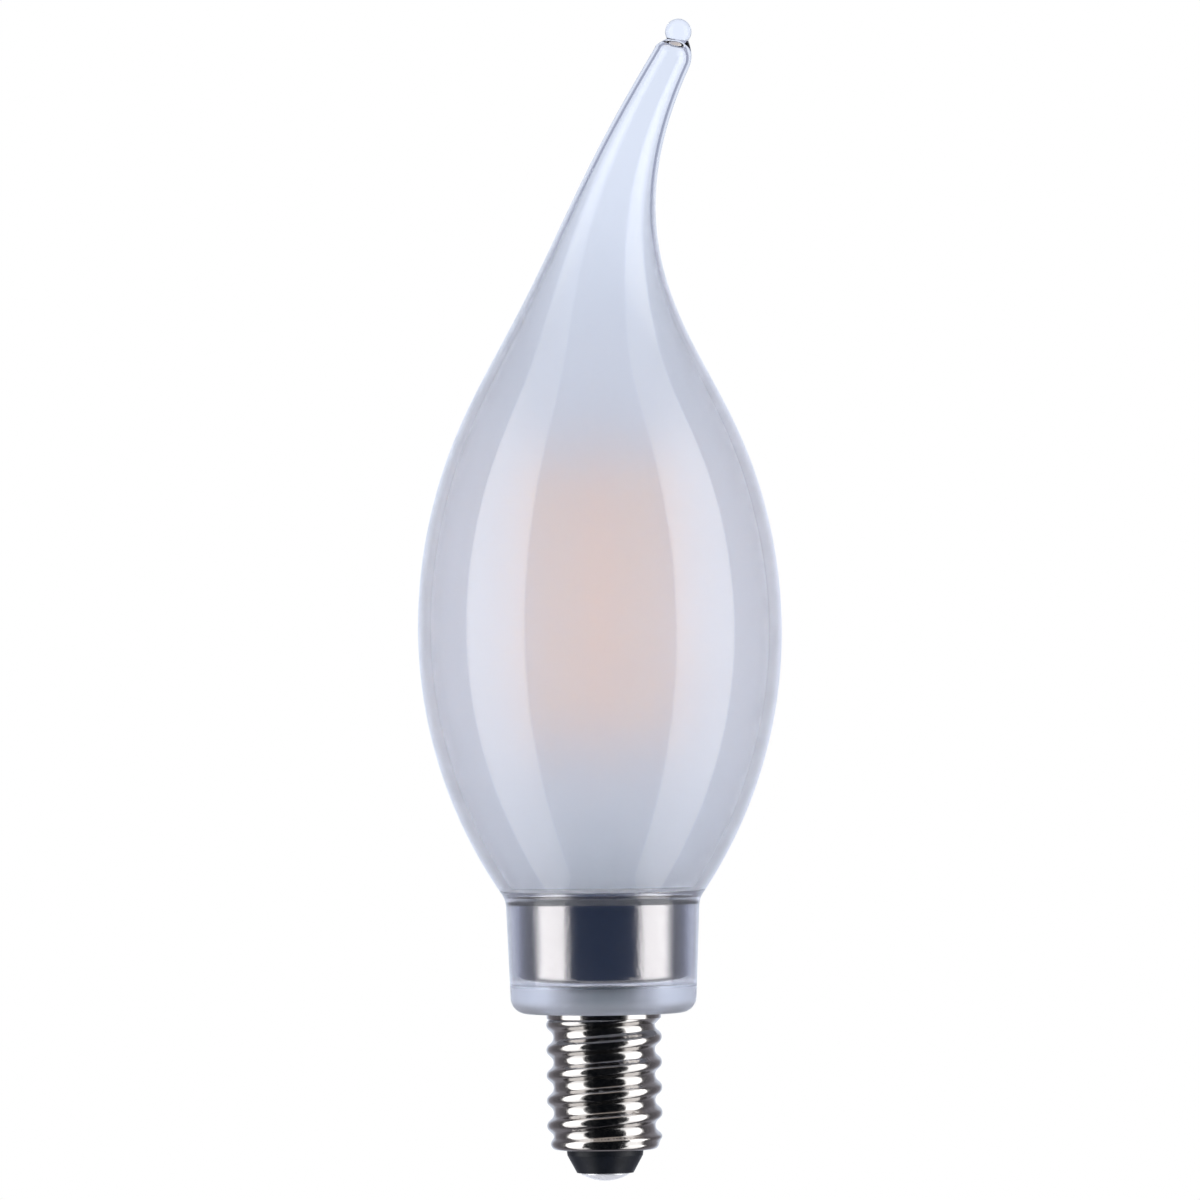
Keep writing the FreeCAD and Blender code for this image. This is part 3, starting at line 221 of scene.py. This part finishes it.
def glass():
    """The blown envelope: a smooth outer skin (slot 0) and the frosted inner one (slot 1)."""
    flame = Flame()
    outer = [(0, z, 0, r) for r, z in body_outline(0)]
    outer += flame.rings(False, OUTER_FLAME_STEPS) + flame.shoulder(False, SHOULDER_STEPS)
    outer += flame.bead(BEAD_STEPS)
    inner = [(0, z, 0, r) for r, z in body_outline(GLASS_WALL)]
    inner += flame.rings(True, INNER_FLAME_STEPS) + flame.shoulder(True, SHOULDER_STEPS)
    shape = bmesh.new()
    outside = skin(shape, outer, 0)
    inside = skin(shape, inner, 1)
    bridge(shape, outside, inside, 0)
    bmesh.ops.recalc_face_normals(shape, faces=shape.faces)
    return mesh_object("frosted_envelope", shape)


def mesh_object(name, shape):
    mesh = bpy.data.meshes.new(name)
    shape.to_mesh(mesh)
    shape.free()
    piece = bpy.data.objects.new(name, mesh)
    bpy.context.scene.collection.objects.link(piece)
    return piece


# Finishes
class Finish:
    """A material with one main shader and small helpers that wire procedural detail into it."""

    def __init__(self, name, colour, roughness, **inputs):
        self.material = bpy.data.materials.new(name)
        self.material.use_nodes = True
        self.tree = self.material.node_tree
        self.shader = self.tree.nodes["Principled BSDF"]
        self.output = self.tree.nodes["Material Output"]
        self.set("Base Color", (*colour, 1.0))
        self.set("Roughness", roughness)
        for key, value in inputs.items():
            self.set(key.replace("_", " ").title().replace("Ior", "IOR"), value)

    def set(self, socket, value):
        self.shader.inputs[socket].default_value = value

    def node(self, kind, **settings):
        node = self.tree.nodes.new(kind)
        for key, value in settings.items():
            if hasattr(node, key):
                setattr(node, key, value)
            else:
                node.inputs[key.replace("_", " ").title()].default_value = value
        return node

    def link(self, source, target):
        self.tree.links.new(source, target)

    def place(self, stretch=(1, 1, 1)):
        """Object coordinates in metres, stretched along each axis."""
        mapping = self.node("ShaderNodeMapping")
        mapping.inputs["Scale"].default_value = stretch
        self.link(self.node("ShaderNodeTexCoord").outputs["Object"], mapping.inputs["Vector"])
        return mapping.outputs["Vector"]

    def noise(self, size, detail=3.0, stretch=(1, 1, 1)):
        """Soft noise whose grains are about that many millimetres."""
        texture = self.node("ShaderNodeTexNoise", scale=1 / (size * MM), detail=detail)
        self.link(self.place(stretch), texture.inputs["Vector"])
        return texture.outputs["Fac"]

    def ranged(self, source, low, high, start=0.3, end=0.7):
        """That source between start and end, spread from low to high."""
        spread = self.node("ShaderNodeMapRange", clamp=True, interpolation_type="SMOOTHSTEP")
        limits = {"From Min": start, "From Max": end, "To Min": low, "To Max": high}
        for socket, value in limits.items():
            spread.inputs[socket].default_value = value
        self.link(source, spread.inputs["Value"])
        return spread.outputs["Result"]

    def level(self, low, high):
        """0 below one level of the lamp and 1 above another, in millimetres."""
        split = self.node("ShaderNodeSeparateXYZ")
        self.link(self.node("ShaderNodeTexCoord").outputs["Object"], split.inputs["Vector"])
        return self.ranged(split.outputs["Z"], 0.0, 1.0, low * MM, high * MM)

    def drive(self, socket, source, low, high, start=0.3, end=0.7):
        """A number of the shader between low and high, by that source."""
        self.link(self.ranged(source, low, high, start, end), self.shader.inputs[socket])
        return self

    def tint(self, source, first, second, start=0.3, end=0.7):
        """Colour between two, by that source."""
        mix = self.node("ShaderNodeMix", data_type="RGBA")
        mix.inputs["A"].default_value = (*first, 1.0)
        mix.inputs["B"].default_value = (*second, 1.0)
        self.link(self.ranged(source, 0.0, 1.0, start, end), mix.inputs["Factor"])
        self.link(mix.outputs["Result"], self.shader.inputs["Base Color"])
        return self

    def bump(self, source, height):
        """Relief of that many millimetres."""
        bump = self.node("ShaderNodeBump")
        bump.inputs["Distance"].default_value = height * MM
        bump.inputs["Strength"].default_value = 1.0
        self.link(source, bump.inputs["Height"])
        self.link(bump.outputs["Normal"], self.shader.inputs["Normal"])
        return self


def clear_skin():
    """Smooth clear glass, the outside of the envelope, whose reflections are dimmed by a painted
    grey shade in the thin tip.
    """
    glaze = Finish("clear_skin", (0.985, 0.99, 1.0), 0.0, transmission_weight=1.0, ior=GLASS_IOR)
    # Painted shade: above the frost the reflections fade to the grey tint.
    glaze.drive("Specular Tint", glaze.level(*FROST_FADE), 1.0, TIP_PAINTED_SHADE, 0.0, 1.0)
    return glaze.material


def frosted_skin():
    """The etched inside with a thin white coat, which thins out in specks towards the drawn tip."""
    frost = Finish("frosted_skin", (0.97, 0.98, 1.0), FROST_ROUGHNESS,
                   transmission_weight=1.0, ior=FROST_IOR)
    powder = frost.node("ShaderNodeBsdfTranslucent")
    powder.inputs["Color"].default_value = (0.93, 0.95, 1.0, 1.0)
    bare = frost.node("ShaderNodeBsdfPrincipled", roughness=0.0, transmission_weight=1.0)
    bare.inputs["Base Color"].default_value = (0.93, 0.935, 0.94, 1.0)
    bare.inputs["IOR"].default_value = GLASS_IOR
    # Painted shade: the bare tip's reflections are dimmed by the same grey tint.
    bare.inputs["Specular Tint"].default_value = (TIP_PAINTED_SHADE, TIP_PAINTED_SHADE, TIP_PAINTED_SHADE, 1.0)
    coated = frost.node("ShaderNodeMixShader")
    coated.inputs["Fac"].default_value = POWDER_SHARE
    faded = frost.node("ShaderNodeMixShader")
    speck = frost.node("ShaderNodeTexWhiteNoise")
    frost.link(frost.place(), speck.inputs["Vector"])
    wiped = frost.node("ShaderNodeMath", operation="LESS_THAN")
    frost.link(speck.outputs["Value"], wiped.inputs[0])
    frost.link(frost.level(*FROST_FADE), wiped.inputs[1])
    frost.link(frost.shader.outputs["BSDF"], coated.inputs[1])
    frost.link(powder.outputs["BSDF"], coated.inputs[2])
    frost.link(wiped.outputs["Value"], faded.inputs["Fac"])
    frost.link(coated.outputs["Shader"], faded.inputs[1])
    frost.link(bare.outputs["BSDF"], faded.inputs[2])
    frost.link(faded.outputs["Shader"], frost.output.inputs["Surface"])
    return frost.material


def metal(name, colour, roughness, spread, patch):
    """Plated or drawn metal with uneven polish in patches of that many millimetres."""
    plate = Finish(name, colour, roughness, metallic=1.0)
    plate.drive("Roughness", plate.noise(patch), roughness - spread, roughness + spread)
    return plate.material


def grained_sheet():
    """Drawn sheet metal with a fine grain, a little longer around than along."""
    sheet = Finish("sleeve_sheet", (0.29, 0.27, 0.245), 0.14, metallic=1.0)
    sheet.drive("Roughness", sheet.noise(0.3), 0.08, 0.20)
    return sheet.bump(sheet.noise(0.35, stretch=(1, 1, 1.3)), 0.035).material


def painted(name, light, dark, roughness, grain, height, **inputs):
    """Plastic, ceramic or board with a slight mottle."""
    coat = Finish(name, light, roughness, **inputs)
    coat.tint(coat.noise(grain * 5), light, dark)
    coat.drive("Roughness", coat.noise(grain * 3), roughness * 0.85, min(roughness * 1.15, 1.0))
    return coat.bump(coat.noise(grain), height).material


def collar_plastic():
    """Satin plastic, clear along its thin side, cloudy in its thick bottom and most at its rim."""
    shell = Finish("collar_plastic", (0.93, 0.94, 0.98), 0.15, transmission_weight=1.0,
                   ior=GLASS_IOR)
    thin = shell.level(*COLLAR_CLOUD_FADE)
    shell.drive("Roughness", thin, 0.4, 0.15, 0.0, 1.0)
    shell.tint(thin, (0.84, 0.88, 0.98), (0.93, 0.94, 0.98), 0.0, 1.0)
    milk = shell.node("ShaderNodeBsdfTranslucent")
    milk.inputs["Color"].default_value = CLOUD_COLOUR
    haze = shell.node("ShaderNodeBsdfDiffuse")
    haze.inputs["Color"].default_value = CLOUD_COLOUR
    clouded = shell.node("ShaderNodeMixShader", fac=0.35)
    shell.link(milk.outputs["BSDF"], clouded.inputs[1])
    shell.link(haze.outputs["BSDF"], clouded.inputs[2])
    cloud = shell.node("ShaderNodeMath", operation="ADD")
    shell.link(shell.ranged(thin, *COLLAR_CLOUD, 0.0, 1.0), cloud.inputs[0])
    above_rim = shell.level(*COLLAR_RIM_FADE)
    shell.link(shell.ranged(above_rim, COLLAR_RIM_CLOUD, 0.0, 0.0, 1.0), cloud.inputs[1])
    mix = shell.node("ShaderNodeMixShader")
    shell.link(cloud.outputs["Value"], mix.inputs["Fac"])
    shell.link(shell.shader.outputs["BSDF"], mix.inputs[1])
    shell.link(clouded.outputs["Shader"], mix.inputs[2])
    shell.link(mix.outputs["Shader"], shell.output.inputs["Surface"])
    return shell.material


def phosphor_and_painted_glow():
    """Yellow-orange coat with a painted glow: a faint pink emission of its own."""
    coat = Finish("phosphor_and_painted_glow", (1.0, 0.60, 0.18), 0.5)
    coat.tint(coat.noise(1.5), (1.0, 0.60, 0.18), (0.95, 0.53, 0.13))
    # Painted glow: the coat gives off faint pink light though the filaments are unlit.
    coat.set("Emission Color", (1.0, 0.42, 0.36, 1.0))
    coat.set("Emission Strength", 0.3)
    return coat.bump(coat.noise(0.3), 0.01).material


def dress(finishes):
    """Gives each CAD node its finish."""
    for finish, names in finishes:
        for name in names:
            for slot in nodes[name].material_slots:
                slot.material = finish


envelope = glass()
envelope.data.materials.append(clear_skin())
envelope.data.materials.append(frosted_skin())
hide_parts("glass_envelope")
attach(envelope, "root")

dress([
    # Dull tin whose near-white, mostly diffuse colour is a painted reflection of a pale floor.
    (painted("tin_with_painted_reflection", (0.95, 0.95, 0.97), (0.88, 0.88, 0.90), 0.3, 0.3, 0.004, metallic=0.25),
     ["centre_contact"]),
    (painted("black_glass", (0.004, 0.006, 0.010), (0.007, 0.009, 0.015), 0.45, 0.3, 0.004,
             specular_ior_level=0.25), ["insulator"]),
    (metal("nickel", (0.43, 0.415, 0.405), 0.16, 0.04, 0.5), ["screw_shell"]),
    (collar_plastic(), ["collar"]),
    (grained_sheet(), ["metal_sleeve"]),
    (painted("cement", (0.88, 0.86, 0.82), (0.80, 0.78, 0.74), 0.9, 0.2, 0.02), ["neck_cement"]),
    (Finish("stem_glass", (0.93, 0.96, 0.97), 0.02, transmission_weight=1.0, ior=1.5).material,
     ["glass_stem"]),
    (metal("lead_metal", (0.74, 0.72, 0.68), 0.30, 0.08, 1.0),
     ["lead_wire_left", "lead_wire_right", "filament_tabs", "top_support"]),
    (phosphor_and_painted_glow(), ["filament_%d" % number for number in range(1, 5)]),
    (painted("board", (0.04, 0.09, 0.12), (0.03, 0.07, 0.10), 0.4, 0.3, 0.004), ["circuit_board"]),
    (metal("can", (0.80, 0.80, 0.80), 0.25, 0.06, 1.0), ["smoothing_capacitor"]),
    (painted("ferrite", (0.08, 0.08, 0.085), (0.05, 0.05, 0.055), 0.6, 0.2, 0.01), ["inductor"]),
    (painted("chip_black", (0.02, 0.02, 0.022), (0.03, 0.03, 0.032), 0.5, 0.1, 0.004),
     ["bridge_rectifier", "driver_chip", "small_chips"]),
    (painted("resistor_coat", (0.30, 0.42, 0.40), (0.25, 0.36, 0.34), 0.4, 0.3, 0.006),
     ["fusible_resistor"]),
    (metal("copper", (0.90, 0.55, 0.38), 0.25, 0.06, 1.0), ["contact_wire", "shell_wire"]),
])


# Studio: white behind the lamp, two tall strip softboxes at its sides, dark on the camera's side.
# Stops are (place, value). In PALE_FOR and SIDES_FOR the place runs from the camera's side, 0, to
# right behind the lamp, 1; in the strips along or across them; in the others by the slope.
STRIP_AZIMUTH = math.radians(71)
STRIP_DISTANCE = 800 * MM
STRIP_WIDTH, STRIP_LOW, STRIP_HIGH = 700 * MM, -1500 * MM, 1700 * MM
STRIP_RADIANCE = 3.4
STRIP_GLOW = ((0.0, 0.4), (0.25, 0.6), (0.38, 0.85), (0.47, 1.0),
              (0.62, 1.0), (0.74, 0.45), (1.0, 0.3))
STRIP_EDGE = ((0.0, 0.0), (0.10, 1.0), (0.93, 1.0), (1.0, 0.2))
BACK_PALE = (0.83, 0.895, 1.04)
FRONT_DARK = (0.035, 0.045, 0.07)
PALE_FOR_GLASS = ((0.55, 0.0), (0.80, 1.0))
PALE_FOR_METAL = ((0.90, 0.0), (0.99, 1.0))
SIDES_FOR_METAL = ((0.08, (0.003, 0.004, 0.006)), (0.20, (0.03, 0.033, 0.042)),
                   (0.55, (0.10, 0.095, 0.105)), (0.75, (0.19, 0.18, 0.20)),
                   (0.90, (0.34, 0.33, 0.37)))
SIDES_FOR_SLEEVE = ((0.08, (0.003, 0.035, 0.14)), (0.20, (0.05, 0.08, 0.20)),
                    (0.55, (0.30, 0.33, 0.45)), (0.88, (0.34, 0.37, 0.50)))
PALE_BELOW = ((0.05, 0.0), (0.45, 1.0))
GREY_ABOVE = ((0.70, 0.0), (0.92, 1.0))
PALE_LIMIT = ((0.30, 1.0), (0.55, 0.0))
TOP_GREY = (0.60, 0.54, 0.50)
FLOOR_DROP = 1600 * MM
FLOOR_REACH = 3000 * MM
FLOOR_WHITE, FLOOR_WHITE_REACH = (0.7, 1.0), (0.2, 0.8)


def ramp(tree, source, stops):
    """Colour by stops (place, colour or grey), eased between them."""
    node = tree.nodes.new("ShaderNodeValToRGB")
    node.color_ramp.interpolation = "EASE"
    elements = node.color_ramp.elements
    while len(elements) < len(stops):
        elements.new(0.5)
    for element, (place, colour) in zip(elements, stops):
        element.position = place
        element.color = (*colour, 1) if isinstance(colour, tuple) else (colour, colour, colour, 1)
    tree.links.new(source, node.inputs["Fac"])
    return node.outputs["Color"]


def blended(tree, first, second, mode="MIX", share=None):
    """Two colours mixed by a share, or multiplied."""
    node = tree.nodes.new("ShaderNodeMix")
    node.data_type = "RGBA"
    node.blend_type = mode
    node.inputs["Factor"].default_value = 1.0
    for socket, colour in (("A", first), ("B", second)):
        if isinstance(colour, tuple):
            node.inputs[socket].default_value = (*colour, 1)
        else:
            tree.links.new(colour, node.inputs[socket])
    if share is not None:
        tree.links.new(share, node.inputs["Factor"])
    return node.outputs["Result"]


def strip_light(name, side):
    """A tall softbox, brightest at the lamp's height and softer at its edges."""
    light = bpy.data.lights.new(name, "AREA")
    light.shape = "RECTANGLE"
    light.size = STRIP_WIDTH
    light.size_y = STRIP_HIGH - STRIP_LOW
    light.energy = STRIP_RADIANCE * math.pi * light.size * light.size_y
    light.use_nodes = True
    tree = light.node_tree
    split = tree.nodes.new("ShaderNodeSeparateXYZ")
    place = tree.nodes.new("ShaderNodeNewGeometry").outputs["Parametric"]
    tree.links.new(place, split.inputs["Vector"])
    along = ramp(tree, split.outputs["Y"], STRIP_GLOW)
    across = ramp(tree, split.outputs["X"], STRIP_EDGE)
    tree.links.new(blended(tree, along, across, "MULTIPLY"), tree.nodes["Emission"].inputs["Color"])
    lamp = bpy.data.objects.new(name, light)
    middle = (STRIP_HIGH + STRIP_LOW) / 2 + FRAME_MIDDLE.z
    lamp.location = (side * math.sin(STRIP_AZIMUTH) * STRIP_DISTANCE,
                     -math.cos(STRIP_AZIMUTH) * STRIP_DISTANCE, middle)
    lamp.rotation_euler = (math.pi / 2, 0, side * STRIP_AZIMUTH)
    lamp.visible_camera = False
    bpy.context.scene.collection.objects.link(lamp)


def reckoned(tree, kind, operation, *values):
    """The result of a maths node, from sockets or plain values."""
    node = tree.nodes.new(kind)
    node.operation = operation
    for socket, value in zip(node.inputs, values):
        if isinstance(value, bpy.types.NodeSocket):
            tree.links.new(value, socket)
        else:
            socket.default_value = value
    return node.outputs[0]


def behind_and_up(tree, vector):
    """How far a vector points behind the lamp, with -1..1 spread over 0..1, and how far up."""
    split = tree.nodes.new("ShaderNodeSeparateXYZ")
    tree.links.new(vector, split.inputs["Vector"])
    behind = tree.nodes.new("ShaderNodeMapRange")
    behind.inputs["From Min"].default_value = -1.0
    tree.links.new(split.outputs["Y"], behind.inputs["Value"])
    return behind.outputs["Result"], split.outputs["Z"]


def studio_world():
    """White to the eye, pale behind and below the lamp for glass, pale only right behind for metal.

    Light that went through glass and met no mirror on its way is the glass's, though it may be
    marked glossy too. A mirrored ray that is also marked as transmitted is the sleeve's, seen
    through the collar.
    """
    world = bpy.data.worlds.new("studio")
    world.use_nodes = True
    bpy.context.scene.world = world
    tree = world.node_tree
    way = tree.nodes.new("ShaderNodeTexCoord").outputs["Generated"]
    behind, up = behind_and_up(tree, way)
    level = reckoned(tree, "ShaderNodeVectorMath", "MULTIPLY", way, (1.0, 1.0, 0.0))
    bearing = reckoned(tree, "ShaderNodeVectorMath", "NORMALIZE", level)
    round_behind, _ = behind_and_up(tree, bearing)
    down = reckoned(tree, "ShaderNodeMath", "MULTIPLY", up, -1.0)
    steep = reckoned(tree, "ShaderNodeMath", "ABSOLUTE", up)
    rays = tree.nodes.new("ShaderNodeLightPath").outputs
    sent, mirrored = rays["Is Transmission Ray"], rays["Is Glossy Ray"]

    for_glass = blended(tree, FRONT_DARK, BACK_PALE, share=ramp(tree, behind, PALE_FOR_GLASS))
    for_glass = blended(tree, for_glass, BACK_PALE, share=ramp(tree, down, PALE_BELOW))
    pale = blended(tree, ramp(tree, round_behind, PALE_FOR_METAL),
                   ramp(tree, steep, PALE_LIMIT), "MULTIPLY")
    sides = blended(tree, ramp(tree, round_behind, SIDES_FOR_METAL),
                    ramp(tree, round_behind, SIDES_FOR_SLEEVE), share=sent)
    for_metal = blended(tree, sides, BACK_PALE, share=pale)
    for_metal = blended(tree, for_metal, TOP_GREY, share=ramp(tree, up, GREY_ABOVE))
    through = reckoned(tree, "ShaderNodeMath", "GREATER_THAN", sent, rays["Glossy Depth"])
    back = blended(tree, for_glass, for_metal, share=mirrored)
    back = blended(tree, back, for_glass, share=through)
    seen = blended(tree, back, (1.0, 1.0, 1.0), share=rays["Is Camera Ray"])
    tree.links.new(seen, tree.nodes["Background"].inputs["Color"])


def floor():
    """Plain pale floor far below, white to the eye but for a shadow; metal and glass see past it."""
    shape = bmesh.new()
    bmesh.ops.create_grid(shape, x_segments=1, y_segments=1, size=FLOOR_REACH)
    plane = mesh_object("floor", shape)
    plane.location.z = -FLOOR_DROP
    paint = Finish("floor_paint", (0.8, 0.8, 0.8), 0.9)
    white = paint.node("ShaderNodeEmission")
    away = paint.node("ShaderNodeVectorMath", operation="LENGTH")
    paint.link(paint.node("ShaderNodeTexCoord").outputs["Object"], away.inputs[0])
    rays = paint.node("ShaderNodeLightPath").outputs
    seen = paint.node("ShaderNodeMath", operation="MULTIPLY")
    white_share = paint.ranged(away.outputs["Value"], *FLOOR_WHITE, *FLOOR_WHITE_REACH)
    paint.link(white_share, seen.inputs[1])
    paint.link(rays["Is Camera Ray"], seen.inputs[0])
    lit = paint.node("ShaderNodeMixShader")
    paint.link(seen.outputs["Value"], lit.inputs["Fac"])
    paint.link(paint.shader.outputs["BSDF"], lit.inputs[1])
    paint.link(white.outputs["Emission"], lit.inputs[2])
    beyond = paint.node("ShaderNodeMixShader")
    mirrored = paint.node("ShaderNodeMath", operation="MAXIMUM")
    paint.link(rays["Is Glossy Ray"], mirrored.inputs[0])
    paint.link(rays["Is Transmission Ray"], mirrored.inputs[1])
    paint.link(mirrored.outputs["Value"], beyond.inputs["Fac"])
    paint.link(lit.outputs["Shader"], beyond.inputs[1])
    paint.link(paint.node("ShaderNodeBsdfTransparent").outputs["BSDF"], beyond.inputs[2])
    paint.link(beyond.outputs["Shader"], paint.output.inputs["Surface"])
    plane.data.materials.append(paint.material)


def camera():
    """The photograph's side, from afar, leaning so that the lamp's axis stands as it does there."""
    lens = bpy.data.cameras.new("camera")
    lens.sensor_width = SENSOR
    lens.lens = SENSOR * CAMERA_DISTANCE / FRAME_WIDTH
    eye = bpy.data.objects.new("camera", lens)
    eye.location = FRAME_MIDDLE - Vector((0, CAMERA_DISTANCE, 0))
    eye.rotation_euler = (math.pi / 2, LAMP_LEAN, 0)
    bpy.context.scene.collection.objects.link(eye)
    bpy.context.scene.camera = eye


strip_light("strip_left", -1)
strip_light("strip_right", 1)
studio_world()
floor()
camera()
bpy.context.scene.view_settings.view_transform = "Standard"

bpy.context.view_layer.update()
